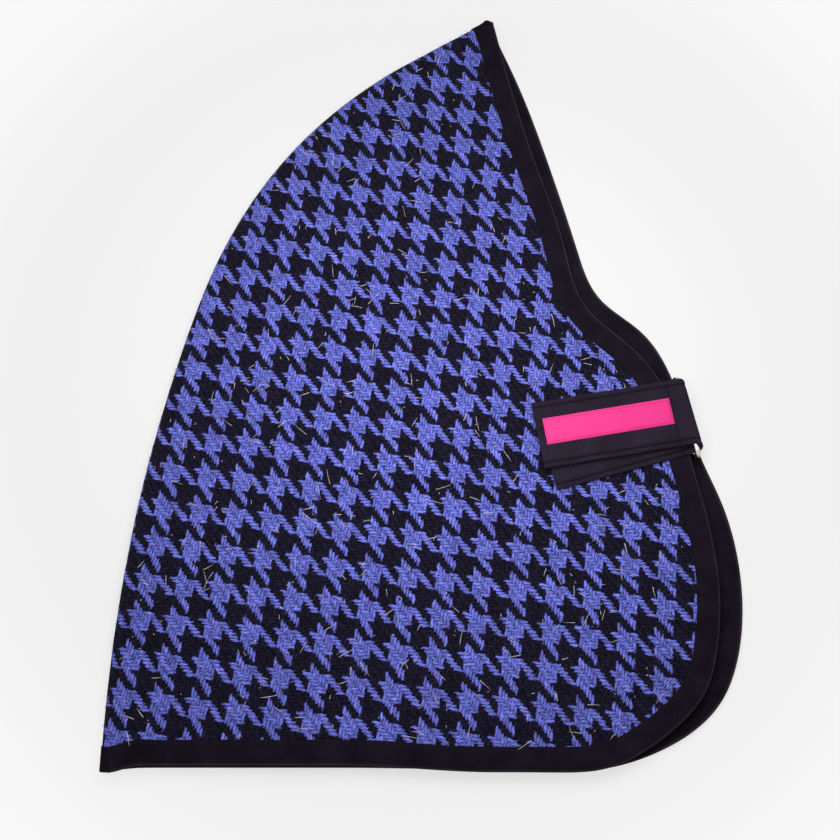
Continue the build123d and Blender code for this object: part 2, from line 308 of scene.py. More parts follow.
# ---- node materials, with their patterns written as formulas ----
class Value:
    """A number worked out by nodes."""

    def __init__(self, socket):
        self.socket = socket

    def math(self, operation, *others):
        tree = self.socket.id_data
        node = tree.nodes.new("ShaderNodeMath")
        node.operation = operation
        for slot, item in zip(node.inputs, (self, *others)):
            if isinstance(item, Value):
                tree.links.new(item.socket, slot)
            else:
                slot.default_value = item
        return Value(node.outputs[0])

    def __add__(self, other):
        return self.math("ADD", other)

    def __sub__(self, other):
        return self.math("SUBTRACT", other)

    def __mul__(self, other):
        return self.math("MULTIPLY", other)

    def __truediv__(self, other):
        return self.math("DIVIDE", other)

    def __mod__(self, other):
        return self.math("FLOORED_MODULO", other)

    def __lt__(self, other):
        return self.math("LESS_THAN", other)

    def floor(self):
        return self.math("FLOOR")

    def cos(self):
        return self.math("COSINE")

    def larger(self, other):
        return self.math("MAXIMUM", other)

    def hump(self):
        """1 less the square: highest at 0, and 0 at 1 to either side."""
        return self * self * -1.0 + 1.0

    def between(self, low, high):
        """0 at low and less, 1 at high and more, smooth in between."""
        node = self.socket.id_data.nodes.new("ShaderNodeMapRange")
        node.interpolation_type = "SMOOTHSTEP"
        self.socket.id_data.links.new(self.socket, node.inputs["Value"])
        node.inputs["From Min"].default_value = low
        node.inputs["From Max"].default_value = high
        return Value(node.outputs["Result"])


class Finish:
    """A Principled material under construction."""

    def __init__(self, name, roughness, sheen=0.0, specular=0.5, metallic=0.0):
        self.material = bpy.data.materials.new(name)
        self.material.use_nodes = True
        self.tree = self.material.node_tree
        self.shader = self.tree.nodes["Principled BSDF"]
        self.shader.inputs["Roughness"].default_value = roughness
        self.shader.inputs["Sheen Weight"].default_value = sheen
        self.shader.inputs["Sheen Roughness"].default_value = 0.45
        self.shader.inputs["Specular IOR Level"].default_value = specular
        self.shader.inputs["Metallic"].default_value = metallic

    def link(self, source, target):
        self.tree.links.new(source, target)

    def cut(self):
        """The place on the flat cut cloth, as two values in metres."""
        node = self.tree.nodes.new("ShaderNodeUVMap")
        node.uv_map = "cut"
        return self.split(node.outputs["UV"])

    def split(self, vector):
        node = self.tree.nodes.new("ShaderNodeSeparateXYZ")
        self.link(vector, node.inputs[0])
        return [Value(output) for output in node.outputs]

    def vector(self, *values):
        node = self.tree.nodes.new("ShaderNodeCombineXYZ")
        for slot, item in zip(node.inputs, values):
            if isinstance(item, Value):
                self.link(item.socket, slot)
            else:
                slot.default_value = item
        return node.outputs[0]

    def place(self):
        return self.tree.nodes.new("ShaderNodeTexCoord").outputs["Object"]

    def noise(self, vector, scale, detail=2.0, roughness=0.5):
        node = self.tree.nodes.new("ShaderNodeTexNoise")
        self.link(vector, node.inputs["Vector"])
        node.inputs["Scale"].default_value = scale
        node.inputs["Detail"].default_value = detail
        node.inputs["Roughness"].default_value = roughness
        return node

    def grain(self, vector, scale, detail=2.0, roughness=0.5):
        return Value(self.noise(vector, scale, detail, roughness).outputs["Fac"])

    def random(self, *values):
        node = self.tree.nodes.new("ShaderNodeTexWhiteNoise")
        self.link(self.vector(*values), node.inputs["Vector"])
        return Value(node.outputs["Value"])

    def mix(self, share, first, second):
        node = self.tree.nodes.new("ShaderNodeMix")
        node.data_type = "RGBA"
        for slot, item in zip((node.inputs[0], node.inputs[6], node.inputs[7]), (share, first, second)):
            if isinstance(item, Value):
                self.link(item.socket, slot)
            elif isinstance(item, bpy.types.NodeSocket):
                self.link(item, slot)
            elif isinstance(item, tuple):
                slot.default_value = (*item, 1.0)
            else:
                slot.default_value = item
        return node.outputs[2]

    def scaled(self, colour, value):
        """The colour made lighter or darker by a value."""
        node = self.tree.nodes.new("ShaderNodeVectorMath")
        node.operation = "SCALE"
        if isinstance(colour, tuple):
            node.inputs[0].default_value = colour
        else:
            self.link(colour, node.inputs[0])
        self.link(value.socket, node.inputs["Scale"])
        return node.outputs[0]

    def colour(self, socket):
        self.link(socket, self.shader.inputs["Base Color"])

    def bump(self, height, depth, strength=1.0):
        node = self.tree.nodes.new("ShaderNodeBump")
        node.inputs["Distance"].default_value = depth
        node.inputs["Strength"].default_value = strength
        self.link(height.socket, node.inputs["Height"])
        self.link(node.outputs[0], self.shader.inputs["Normal"])

    def roughness(self, value):
        self.link(value.socket, self.shader.inputs["Roughness"])


def srgb(red, green, blue):
    """A colour given as it is seen, from 0 to 255, as the shader's linear values."""
    shares = [c / 255 for c in (red, green, blue)]
    return tuple(c / 12.92 if c <= 0.04045 else ((c + 0.055) / 1.055) ** 2.4 for c in shares)


# ---- the houndstooth: a 3/3 twill of six blue and six black yarns each way ----
CHECK = 20.0 * MM
GROUP = 6
YARN = CHECK / (2 * GROUP)
WEAVE_TURN = math.radians(7.325)
PLY_ACROSS, PLY_ALONG = 1.4, 0.62
BLUE = srgb(113, 119, 219)
PALE_BLUE = srgb(166, 176, 252)
BLACK = srgb(27, 24, 38)
NAVY = srgb(44, 42, 72)
# how far the cloth is out of true: checks closer together across, more so towards the poll, and
# skewed
DRAWN_IN, TAPERED, SKEWED, DRAWN_UP = 0.0255, 0.156, -0.0078, -0.0064


def houndstooth(name, origin, phase):
    """Yarns that pass over three and under three. phase is the yarn count at the origin."""
    finish = Finish(name, roughness=0.9, sheen=0.04, specular=0.04)
    x, y, _ = finish.cut()
    x, y = x + x * (y * TAPERED + DRAWN_IN) - origin[0], y + x * SKEWED + y * DRAWN_UP - origin[1]
    turn_cos, turn_sin = math.cos(WEAVE_TURN) / YARN, math.sin(WEAVE_TURN) / YARN
    warp = x * turn_cos - y * turn_sin + phase[0]
    weft = x * -turn_sin - y * turn_cos + phase[1]
    # the yarns wander over several checks, from yarn to yarn, and with the loose fibres at their sides
    spot = finish.vector(warp, weft, 0.0)
    for scale, reach in ((0.07, 1.5), (0.45, 1.1), (2.2, 0.5)):
        dx, dy, _ = finish.split(finish.noise(spot, scale).outputs["Color"])
        warp, weft = warp + (dx - 0.5) * reach, weft + (dy - 0.5) * reach
    i, j = warp.floor(), weft.floor()
    fx, fy = warp - i, weft - j
    warp_blue = (i % (2.0 * GROUP)) < GROUP
    weft_blue = (j % (2.0 * GROUP)) < GROUP

    def wave(count, middle):
        return ((count % GROUP - middle) * (math.tau / GROUP)).cos()

    def round_top(share):
        return (share * 2.0 - 1.0).hump()

    # each float is rounded across and dives at both ends; whichever yarn is higher shows
    warp_rise = finish.random(i, (weft - i).floor(), 1.0) * 0.4
    weft_rise = finish.random(j, (warp - j).floor(), 2.0) * 0.4
    warp_height = wave(i + 2.0 - weft, GROUP / 2 + 0.5) * 0.62 + round_top(fx) * 0.75 + warp_rise
    weft_height = wave(warp - j + 2.0, GROUP / 4) * 0.62 + round_top(fy) * 0.75 + weft_rise
    fray = finish.grain(spot, 3.2, detail=3.0) - 0.5
    # the black yarn is the fuller one, so that the thin tails of the checks break up
    fuller = finish.grain(spot, 0.6, detail=2.0) * 1.8 - 0.76
    over = warp_height - weft_height + fray * 1.5 + (weft_blue - warp_blue) * fuller
    warp_on_top = over.between(-0.08, 0.08)
    blueness = weft_blue + (warp_blue - weft_blue) * warp_on_top
    # each yarn is plied: its strands cross it at a slant, and its fibres run along them
    warp_ply = ((fx * PLY_ACROSS + weft * PLY_ALONG + finish.random(i, 5.0, 0.0)) * math.tau).cos()
    weft_ply = ((fy * PLY_ACROSS + warp * PLY_ALONG + finish.random(j, 6.0, 0.0)) * math.tau).cos()
    ply = (weft_ply + (warp_ply - weft_ply) * warp_on_top) * 0.5 + 0.5
    along_warp = finish.vector(warp * 5.0 + weft * 1.6, weft * 0.9, i)
    along_weft = finish.vector(weft * 5.0 + warp * 1.6, warp * 0.9, j)
    warp_fibre = finish.grain(along_warp, 1.0, detail=3.0, roughness=0.65)
    weft_fibre = finish.grain(along_weft, 1.0, detail=3.0, roughness=0.65)
    fibre = weft_fibre + (warp_fibre - weft_fibre) * warp_on_top
    warp_tone = finish.random(i, (weft / 3.0).floor(), 3.0)
    weft_tone = finish.random(j, (warp / 3.0).floor(), 8.0)
    tone = weft_tone + (warp_tone - weft_tone) * warp_on_top
    height = warp_height.larger(weft_height) + ply * 0.3
    # painted shade and highlight: the colour is darker where the yarns and their plies dip and lighter on the
    # floats' tops; fibre and tone are the yarns' own uneven colour
    shade = height.between(0.35, 1.75) * 1.2 + 0.08
    shade = shade * (fibre.between(0.25, 0.75) * 1.0 + 0.5) * (tone * 0.45 + 0.8) * (ply * 0.6 + 0.7)
    worn = finish.grain(spot, 0.1, detail=2.0) * 0.3 + 0.85
    mottle = finish.grain(spot, 1.4, detail=4.0, roughness=0.7)
    dark = finish.mix(mottle.between(0.45, 0.75), BLACK, NAVY)
    blue = finish.mix((mottle * fibre).between(0.3, 0.46) * 0.75, BLUE, PALE_BLUE)
    finish.colour(finish.scaled(finish.mix(blueness, dark, blue), shade * worn))
    finish.bump(height + fibre * 0.5, 0.5 * MM, 0.9)
    return finish.material


# ---- tapes, threads, metal and fibres ----
# a paler tint painted along the binding's crease stands in for the highlight where the crease catches the
# light
FOLD_AT, HIGHLIGHT_REACH = 13.9 * MM, 3.0 * MM
HIGHLIGHT_TINT = srgb(84, 74, 76)
# the strap's colour is painted darker along its sewn grooves: painted shade, down to the level given below
SEAM_AT, GROOVE_SHADE_REACH = 15.8 * MM, 1.0 * MM
GROOVE_SHADE_LEVEL = 0.35


def tape_twill(name, colour, rib, slant, depth, roughness, specular, contrast, fold=None, seam=None):
    """Diagonal ribs across a tape; rib is their spacing, slant their run along for one across,
    fold is where across the tape it is creased, with a painted highlight along the crease, and
    seam is how far from its middle it is sewn down, with painted shade along the sewing."""
    finish = Finish(name, roughness=roughness, specular=specular)
    along, across, _ = finish.cut()
    spot = finish.vector(along / rib, across / rib, 0.0)
    wander = finish.grain(spot, 0.35) * 0.5
    ribs = ((along + across * slant) / rib + wander) * math.tau
    threads = (across / rib * 1.6 + wander) * math.tau
    height = ribs.cos() * 0.5 + threads.cos() * 0.15 + 0.5
    grain = finish.grain(spot, 3.0, detail=4.0)
    cloud = finish.grain(spot, 0.07, detail=2.0)
    # painted shade between the ribs, from their height; grain and cloud are the tape's own uneven tone
    shade = (height * contrast + grain * 0.8 + cloud * 1.4 - (0.1 + contrast / 2)).larger(0.06)
    tone = finish.mix(grain.between(0.55, 0.9) * 0.25, colour, tuple(c * 2.2 for c in colour))
    if fold is not None:
        # painted highlight: paler near the crease, broken by the ribs
        painted_highlight = ((across - fold) / HIGHLIGHT_REACH).hump().larger(0.0) * (ribs.cos() * 0.35 + 0.65)
        tone = finish.mix(painted_highlight, tone, HIGHLIGHT_TINT)
    if seam is not None:
        # painted shade in the sewn groove
        groove_shade = ((across.math("ABSOLUTE") - seam) / GROOVE_SHADE_REACH).hump().larger(0.0)
        shade = shade * (groove_shade * (GROOVE_SHADE_LEVEL - 1.0) + 1.0)
    finish.colour(finish.scaled(tone, shade))
    finish.bump(height + grain * 0.4, depth)
    return finish.material


def plain_weave(name, colour, thread, depth, roughness, sheen, specular):
    finish = Finish(name, roughness=roughness, sheen=sheen, specular=specular)
    along, across, _ = finish.cut()
    spot = finish.vector(along / thread, across / thread, 0.0)
    one = (along / thread * math.pi).cos()
    other = (across / thread * math.pi).cos()
    height = (one * other) * 0.5 + 0.5
    grain = finish.grain(spot, 0.5, detail=4.0)
    # painted shade: darker where the threads dip under each other; grain is the cloth's own uneven tone
    finish.colour(finish.scaled(colour, height * 0.2 + grain * 0.35 + 0.72))
    finish.bump(height + grain * 0.5, depth)
    return finish.material


def thread_finish(name, colour):
    """Twisted sewing thread, with its plies as a fine diagonal."""
    finish = Finish(name, roughness=0.55, specular=0.12)
    x, y, z = finish.split(finish.place())
    plies = ((x + y) * 9000.0 + z * 4000.0).cos() * 0.5 + 0.5
    # painted shade: darker between the plies
    finish.colour(finish.scaled(colour, plies * 0.3 + 0.85))
    finish.bump(plies, 0.06 * MM)
    return finish.material


def metal_finish(name):
    finish = Finish(name, roughness=0.24, specular=0.5, metallic=1.0)
    grain = finish.grain(finish.place(), 900.0, detail=3.0)
    finish.colour(finish.scaled(srgb(214, 210, 204), grain * 0.12 + 0.92))
    finish.roughness(grain * 0.16 + 0.16)
    finish.bump(grain, 0.02 * MM)
    return finish.material


def lurex_finish():
    finish = Finish("lurex", roughness=0.35, specular=0.6)
    grain = finish.grain(finish.place(), 400.0)
    # near-white, brighter in random bits: the filaments' own silver, with a painted glint in place of their
    # metal's reflection
    finish.colour(finish.scaled(srgb(246, 240, 242), grain.between(0.3, 0.55) * 0.6 + 0.42))
    return finish.material


def fibre_finish(name, colour):
    finish = Finish(name, roughness=0.9, sheen=0.2, specular=0.1)
    grain = finish.grain(finish.place(), 1500.0)
    finish.colour(finish.scaled(colour, grain * 0.8 + 0.6))
    return finish.material


LATTICE_AT = (-88.8 * MM, -94.2 * MM)
LATTICE_PHASE = (2.6, 2.7)
cloth_top = houndstooth("houndstooth_right", LATTICE_AT, LATTICE_PHASE)
cloth_under = houndstooth("houndstooth_left", LATTICE_AT, (LATTICE_PHASE[0] + 4.0, LATTICE_PHASE[1] + 7.0))
lining_cloth = plain_weave("lining_satin", srgb(36, 34, 44), 0.35 * MM, 0.03 * MM, 0.42, 0.15, 0.4)
TAPE_LOOK = (srgb(30, 24, 35), 0.95 * MM, -0.9, 0.08 * MM, 0.85, 0.03, 0.8)
binding_tape = tape_twill("binding_tape", *TAPE_LOOK, fold=FOLD_AT)
plain_tape = tape_twill("plain_tape", *TAPE_LOOK)
webbing = tape_twill("strap_twill", srgb(44, 36, 51), 1.4 * MM, -0.85, 0.3 * MM, 0.7, 0.08, 1.6, seam=SEAM_AT)
label_ribbon = plain_weave("label_ribbon", srgb(255, 60, 152), 0.3 * MM, 0.03 * MM, 0.5, 0.1, 0.2)
pink_thread = thread_finish("pink_thread", srgb(214, 44, 116))
dark_thread = thread_finish("dark_thread", srgb(20, 16, 24))
nickel = metal_finish("nickel")
lurex = lurex_finish()
dark_fibre = fibre_finish("dark_fibre", srgb(40, 36, 46))
blue_fibre = fibre_finish("blue_fibre", srgb(92, 92, 190))
grip_plastic = fibre_finish("grip_tape", srgb(26, 25, 28))


# ---- the two sides: outer cloth and lining ----
ROWS = 250
FLAT_COLUMNS = 104
TURN_COLUMNS = 8
SEAM_DIP = 0.7 * MM
SEAM_W = 1.6 * MM


def side_grid(run, inset, rows, columns):
    """Flat places from the crest seam, over the crest line, to the run's edge."""
    share = np.linspace(0, 1, rows)
    along = inset + share * (crest.length - 2 * inset)
    edge_at = inset + share * (run.length - 2 * inset)
    start = crest.point(along)
    edge = run.point(edge_at) + run.right(edge_at) * inset
    past = np.linspace(SEAM_OUT, 0, TURN_COLUMNS, endpoint=False)
    arc = start[:, None] + crest.right(along)[:, None] * past[None, :, None]
    t = np.linspace(0, 1, columns)[None, :, None]
    return np.concatenate([arc, start[:, None] * (1 - t) + edge[:, None] * t], 1)


def side_sheet(name, run, inset, side, outer_r, inner_r, rows, columns, swell, material):
    grid = side_grid(run, inset, rows, columns)
    out = beside_crest(grid)[1]
    tuck = np.clip((out - SEAM_OUT + SEAM_W) / SEAM_W, 0, 1) ** 2 * SEAM_DIP
    lift = soft(grid, 55 * MM, side) * swell + soft(grid, 11 * MM, side + 5) * swell * 0.35
    ragged = soft(grid, 3.2 * MM, side + 9) * 0.3 * swell * (out > 0)
    outer = laid(grid, outer_r - tuck + lift + ragged, side)
    inner = laid(grid, inner_r - tuck * 0.6 + lift, side)
    piece = shell(name, outer, inner, grid, material)
    return piece


# the near side's cloth is this much thinner inside than its solid, which keeps it off its lining
# where the two bend
FOLD_ROOM = 0.9 * MM


def follow_fold(piece):
    """Bakes the piece's placement into its mesh; the piece is attached to no body."""
    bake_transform(piece)


cloth_right = side_sheet("cloth_right", near_run, CLOTH_INSET, 1, R_CLOTH, R_LINING + FOLD_ROOM,
                         ROWS, FLAT_COLUMNS, 0.22 * MM, cloth_top)
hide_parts("outer_panel_right", "outer_panel_crest")
follow_fold(cloth_right)
cloth_left = side_sheet("cloth_left", far_run, CLOTH_INSET, -1, R_CLOTH, R_LINING + SKIN,
                        ROWS, FLAT_COLUMNS, 0.2 * MM, cloth_under)
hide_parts("outer_panel_left")
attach(cloth_left, "left_side")
lining_right = side_sheet("lining_right_side", near_run, LINING_INSET, 1, R_LINING - SKIN, R_INSIDE,
                          ROWS // 2, FLAT_COLUMNS, 0.12 * MM, lining_cloth)
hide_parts("lining_right", "lining_crest")
follow_fold(lining_right)
lining_left = side_sheet("lining_left_side", far_run, LINING_INSET, -1, R_LINING - SKIN, R_INSIDE,
                         ROWS // 2, FLAT_COLUMNS // 2, 0.12 * MM, lining_cloth)
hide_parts("lining_left")
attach(lining_left, "left_side")

# ---- binding: a tape folded round the edge, and on round both ends of the crest ----
LEAF_W = 12.5 * MM
TAPE_T = 0.5 * MM
NOSE_R = 1.5 * MM
HALF_T = (R_BIND - R_BORE) / 2
BINDING_ROWS = 2.2 * MM
LEAF_STEPS = 8
POLL_PULL, HEEL_PULL = 1.4 * MM, 0.3 * MM
TURN_PULL = 1.2 * MM
PULL_FADE = 6 * MM


def u_section():
    """(distance in from the nose, height off the middle) round a folded tape's section."""
    leaf = np.linspace(LEAF_W, NOSE_R, LEAF_STEPS)
    swing = np.linspace(90, -90, 9)[1:-1]
    nose = [(NOSE_R - NOSE_R * math.cos(math.radians(a)), NOSE_R * math.sin(math.radians(a))
             + math.copysign(HALF_T - NOSE_R, math.sin(math.radians(a)) + 1e-9)) for a in swing]
    outside = [(a, HALF_T) for a in leaf] + nose + [(a, -HALF_T) for a in leaf[::-1]]
    tip = LEAF_W + 0.15 * MM
    low = [(tip, -HALF_T + TAPE_T * 0.3), (tip, -HALF_T + TAPE_T * 0.8)]
    inside = [(a, -HALF_T + TAPE_T) for a in leaf[:-1]] + [(TAPE_T, 0)]
    inside += [(a, HALF_T - TAPE_T) for a in leaf[-2::-1]]
    high = [(tip, HALF_T - TAPE_T * 0.8), (tip, HALF_T - TAPE_T * 0.3)]
    return np.array(outside + low + inside + high)


SECTION = u_section()
GIRTH = distances(SECTION)
AT_NOSE = np.exp(-((SECTION[:, 0] / (4 * MM)) ** 2))


def edge_rings(run, side, distance):
    """Sections of the binding square to the run, and their places on the tape."""
    ease = (SECTION[:, 0] / LEAF_W)[None, :, None]
    pull = POLL_PULL * np.exp(-distance / PULL_FADE) + HEEL_PULL * np.exp((distance - run.length) / PULL_FADE)
    wander = soft(run.point(distance), 23 * MM, side + 20)[:, None, None] * 0.35 * MM
    inward = SECTION[None, :, 0, None] + wander * ease - (pull[:, None] * AT_NOSE)[..., None]
    plan = run.point(distance)[:, None] + run.right(distance)[:, None] * inward
    pucker = soft(plan, 5.5 * MM, side + 30) * 0.1 * MM * (SECTION[:, 1] > HALF_T * 0.9)
    rings = laid(plan, R_EDGE + SECTION[None, :, 1] + pucker, side)
    return rings, paired(distance[:, None], GIRTH[None])


def wrap_rings(at_start, count):
    """Sections carried round the crest, from the top side's end section to the under side's."""
    ends = []
    for run, side in ((near_run, 1), (far_run, -1)):
        at = 0 if at_start else run.length
        pull = AT_NOSE * (POLL_PULL if at_start else HEEL_PULL)
        plan = run.point(at) + run.right(at) * (SECTION[:, 0] - pull)[:, None]
        along, out = beside_crest(plan)
        ends.append((along, out if side > 0 else 2 * SEAM_OUT - out))
    share = np.linspace(0, 1, count)[:, None]
    along = ends[0][0] * (1 - share) + ends[1][0] * share
    out = ends[0][1] * (1 - share) + ends[1][1] * share
    if not at_start:
        along = along + AT_NOSE * np.sin(share * math.pi) * TURN_PULL
    rings = turned(along, out, R_EDGE + SECTION[None, :, 1], 1)
    return rings, paired(share * 2 * SEAM_OUT, GIRTH[None])


def binding(name, run, side):
    distance = np.linspace(0, run.length, round(run.length / BINDING_ROWS))
    rings, uv = edge_rings(run, side, distance)
    return loft(name, rings, binding_tape, uv)


binding_right = binding("binding_right", near_run, 1)
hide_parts("edge_binding_right")
follow_fold(binding_right)
binding_left = binding("binding_left", far_run, -1)
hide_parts("edge_binding_left")
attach(binding_left, "left_side")
WRAP_ROWS = 22
WRAPS = (("binding_round_poll", "binding_poll", True), ("binding_round_heel", "binding_heel", False))
for name, node, at_start in WRAPS:
    rings, uv = wrap_rings(at_start, WRAP_ROWS)
    wrap = loft(name, rings, binding_tape, uv)
    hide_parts(node)
    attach(wrap, "left_side")


# ---- stitches ----
STITCH_ROWS, STITCH_SIDES = 7, 6
SUNK = 0.35


def stitch_row(name, places, ups, length, gap, radius, material):
    """Sewing along a line of points: short threads that rise from the cloth and dive back."""
    at = distances(places)
    count = max(1, int(at[-1] // (length + gap)))
    starts = (np.arange(count) + 0.5) * at[-1] / count - length / 2
    swing = np.linspace(0, math.tau, STITCH_SIDES, endpoint=False)
    span = np.linspace(0, 1, STITCH_ROWS)
    rings, faces = [], []
    for start in starts:
        s = start + span * length
        line = np.stack([np.interp(s, at, column) for column in places.T], -1)
        up = unit(np.stack([np.interp(s, at, column) for column in ups.T], -1))
        ahead = unit(np.gradient(line, axis=0))
        beside = unit(np.cross(ahead, up))
        bow = np.sin(span * math.pi)
        line = line + up * ((bow - SUNK) * radius)[:, None]
        thick = radius * (0.55 + 0.45 * bow)[:, None, None]
        ring = line[:, None] + thick * (np.cos(swing)[None, :, None] * beside[:, None]
                                        + np.sin(swing)[None, :, None] * up[:, None])
        faces += tube_faces(STITCH_ROWS, STITCH_SIDES, len(rings))
        rings.append(ring.reshape(-1, 3))
    return mesh_piece(name, np.concatenate(rings), faces, material)


STITCH_L = 2.7 * MM
STITCH_GAP = 0.6 * MM
THREAD_R = 0.15 * MM
EDGE_STITCH = 1.7 * MM


def binding_stitches(name, run, side):
    distance = np.linspace(1.5 * MM, run.length - 1.5 * MM, round(run.length / MM))
    plan = run.point(distance) + run.right(distance) * (LEAF_W - EDGE_STITCH)
    places = laid(plan, R_BIND + 0.02 * MM, side)
    lifted = laid(plan, R_BIND + 1.0 * MM, side)
    return stitch_row(name, places, unit(lifted - places), STITCH_L, STITCH_GAP, THREAD_R, dark_thread)


stitches_right = binding_stitches("stitches_binding_right", near_run, 1)
follow_fold(stitches_right)
stitches_left = binding_stitches("stitches_binding_left", far_run, -1)
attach(stitches_left, "left_side")

# ---- the crest seam's tape, inside ----
tape_low, tape_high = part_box("crest_seam_tape")
TAPE_HALF_W = 5.5 * MM
TAPE_IN = 2.9 * MM
tape_at = np.linspace(15 * MM, crest.length - 15 * MM, 180)
TAPE_FACE = [(1, 0.35), (0.96, 0.5), (0.5, 0.42), (0, 0.5), (-0.5, 0.42), (-0.96, 0.5), (-1, 0.35)]
TAPE_SHAPE = np.array([(-x, -z) for x, z in TAPE_FACE] + TAPE_FACE)
tape_in = TAPE_IN + TAPE_SHAPE[None, :, :1] * TAPE_HALF_W
tape_plan = crest.point(tape_at)[:, None] - crest.right(tape_at)[:, None] * tape_in
tape_z = (tape_low.z + tape_high.z) / 2 + TAPE_SHAPE[None, :, 1] * (tape_high.z - tape_low.z)
tape_rings = raised(tape_plan, tape_z)
tape_uv = paired(tape_at[:, None], TAPE_SHAPE[None, :, 0] * TAPE_HALF_W)
seam_tape = loft("seam_tape", tape_rings, plain_tape, tape_uv)
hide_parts("crest_seam_tape")
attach(seam_tape, "left_side")

# ---- the strap: sewn end, turn round the ring's upper bar, folded-back flap ----
bar_at = np.array(joints["flap_lift"]["pos_m"])
bar_way = np.array(joints["flap_lift"]["axis"])
strap_way = right_of(bar_way[:2])


class Strip:
    """Where a flat strip lies: its far end's middle, its way towards the ring, and its size."""

    def __init__(self, node):
        low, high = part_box(node)
        corners = np.unique(node_points(node)[:, :2].round(6), axis=0)
        rank = np.argsort(corners @ strap_way)
        end, near = corners[rank[:2]], corners[rank[-2:]]
        self.width = np.linalg.norm(end[1] - end[0])
        across = (end[1] - end[0]) / self.width
        self.way = right_of(across) * np.sign(right_of(across) @ strap_way)
        self.across = -right_of(self.way)
        self.end = end.mean(0)
        self.length = (near.mean(0) - self.end) @ self.way
        self.low, self.high = low.z, high.z
        self.middle = (low.z + high.z) / 2

    def place(self, along, across, height):
        along, across, height = np.broadcast_arrays(along, across, height)
        return raised(self.end + self.way * along[..., None] + self.across * across[..., None], height)


base = Strip("strap_base")
flap = Strip("strap_flap")
STRAP_T = base.high - base.low
HEM_IN = 3.2 * MM
GROOVE_W = 0.9 * MM
GROOVE_D = 0.28 * MM
END_STITCH = 2.6 * MM


def strap_section(width, thickness, steps=34):
    """A flat band with soft edges and a sewn-in channel near each, as (across, up)."""
    half, corner = width / 2, thickness * 0.46
    flat = np.linspace(-half + corner, half - corner, steps)
    groove = np.exp(-(((abs(flat) - half + HEM_IN) / GROOVE_W) ** 2)) * GROOVE_D
    puff = np.clip((abs(flat) - half + HEM_IN) / HEM_IN, 0, 1)
    top = thickness / 2 - groove + np.sin(puff * math.pi) * 0.12 * MM
    swing = np.radians(np.linspace(80, -80, 7))
    right = [(half - corner + corner * math.cos(a), (thickness / 2) * math.sin(a)) for a in swing]
    left = [(-x, -z) for x, z in right]
    upper, lower = list(zip(flat, top)), list(zip(flat[::-1], -top[::-1]))
    return np.array(upper + right + lower + left)


STRAP = strap_section(base.width, STRAP_T)


def end_taper(along, reach=0.8 * MM):
    """Thickness near a strip's cut end, so that it closes in a rounded edge."""
    inside = np.clip(along / reach, 0, 1)
    return np.sqrt(1 - (1 - inside) ** 2) * 0.96 + 0.04


def strap_body(name, strip, seed):
    along = np.concatenate([np.linspace(0, 0.9, 7)[:-1] * MM, np.linspace(0.9 * MM, strip.length, 44)])
    taper = end_taper(along)[:, None]
    shape = STRAP[None] * paired(0.975 + 0.025 * taper, taper)
    wobble = soft(strip.place(along, 0 * along, 0 * along), 17 * MM, seed) * 0.22 * MM
    fade = np.clip((strip.length - along) / (8 * MM), 0, 1)
    aside = shape[..., 0] + (wobble * fade)[:, None]
    rings = strip.place(along[:, None], aside, strip.middle + shape[..., 1])
    swell = soft(rings, 13 * MM, seed + 3) * 0.13 * MM * fade[:, None]
    rings[..., 2] += swell
    uv = paired(along[:, None], STRAP[None, :, 0])
    return loft(name, rings, webbing, uv)


strap_sewn = strap_body("strap_sewn_end", base, 40)
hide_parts("strap_base")
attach(strap_sewn, "right_side")
strap_back = strap_body("strap_folded_back", flap, 50)
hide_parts("strap_flap")
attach(strap_back, "flap")

WIRE = 2 * (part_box("closure_ring")[1].z - bar_at[2])
RUNNING_GAP = 0.3 * MM
TURN_SWEEP = (-90, 115)


def turn_path(middle_in, middle_out, radius, bar_z, back):
    """(along, up) of a band's middle: flat to the bar, round it, and back above itself."""
    lead = [(-back * (1 - t), middle_in) for t in np.linspace(0, 1, 6, endpoint=False)]
    arc = [(radius * math.cos(math.radians(a)), bar_z + radius * math.sin(math.radians(a)))
           for a in np.linspace(*TURN_SWEEP, 26)]
    leave = math.radians(TURN_SWEEP[1])
    start, finish = np.array(arc[-1]), np.array([-back, middle_out])
    reach = np.linalg.norm(finish - start)
    pull, push = np.array([-math.sin(leave), math.cos(leave)]) * reach, np.array([-reach, 0])
    t = np.linspace(0, 1, 13)[1:, None]
    bend = ((2 * t**3 - 3 * t**2 + 1) * start + (t**3 - 2 * t**2 + t) * pull
            + (3 * t**2 - 2 * t**3) * finish + (t**3 - t**2) * push)
    share = np.concatenate([np.zeros(len(lead)), np.linspace(0, 1, len(arc)), np.ones(len(bend))])
    return np.array(lead + arc + bend.tolist()), share


turn_back = (bar_at[:2] - (base.end + base.way * base.length)) @ strap_way
turn_line, turn_share = turn_path(base.middle, flap.middle, WIRE / 2 + RUNNING_GAP + STRAP_T / 2,
                                  bar_at[2], turn_back)


def side_shift(strip):
    """How far a strip's middle line passes the ring's middle, along the bar."""
    gap = strip.end - bar_at[:2]
    reach = -(gap @ strap_way) / (strip.way @ strap_way)
    return (gap + strip.way * reach) @ bar_way[:2]


